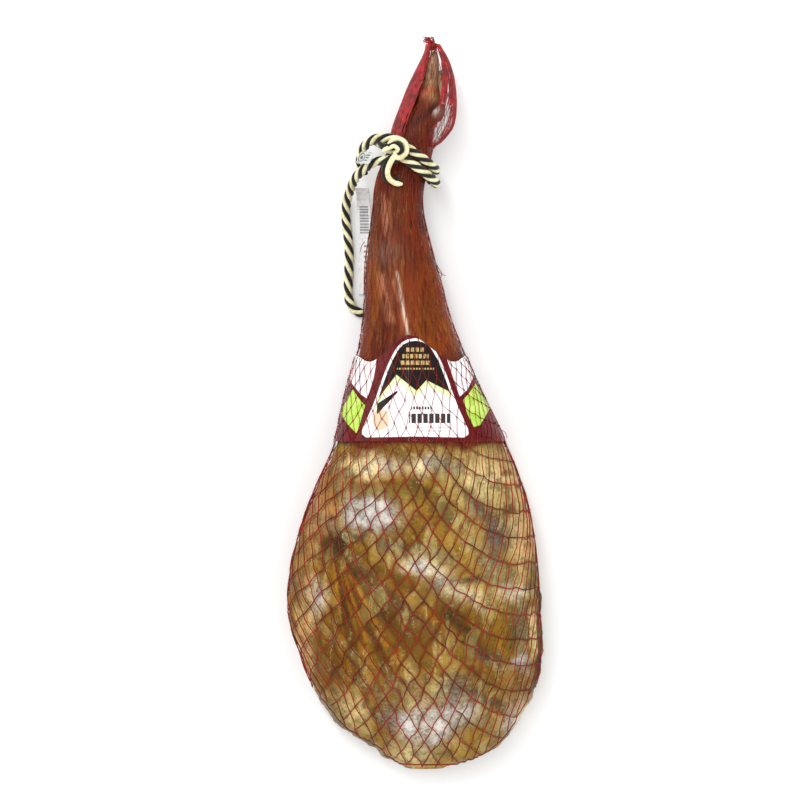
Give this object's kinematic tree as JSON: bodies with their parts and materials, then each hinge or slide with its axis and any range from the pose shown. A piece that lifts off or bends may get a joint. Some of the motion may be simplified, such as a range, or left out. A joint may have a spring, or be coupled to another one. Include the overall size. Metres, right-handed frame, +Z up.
{
  "type": "cured ham",
  "caption": "Whole cured pork shoulder with its foot, in a red string net with a printed paper collar, a twisted rope loop and tags, lying on its flat side.",
  "frame": {"origin": "on the resting face, under the middle of the ham's outline (rope and tags left out)", "axes": "+Y up the leg to the foot, +X to the right seen from above, +Z up from the resting face"},
  "size_m": [0.2399, 0.681, 0.1],
  "materials": {
    "rind": "oily cured rind and fat, glossy in places",
    "net_string": "thin knitted string, matt",
    "collar_paper": "coated printed paper, glossy",
    "rope": "twisted black and cream strands, matt",
    "seal_plastic": "grey moulded plastic",
    "strip_paper": "white printed paper, soft"
  },
  "bodies": {
    "root": {"ham": "rind", "collar": "collar_paper", "net": "net_string", "rope_winding": "rope", "rope_loop": "rope", "seal_tag": "seal_plastic", "strip_tag": "strip_paper"}
  },
  "joints": []
}
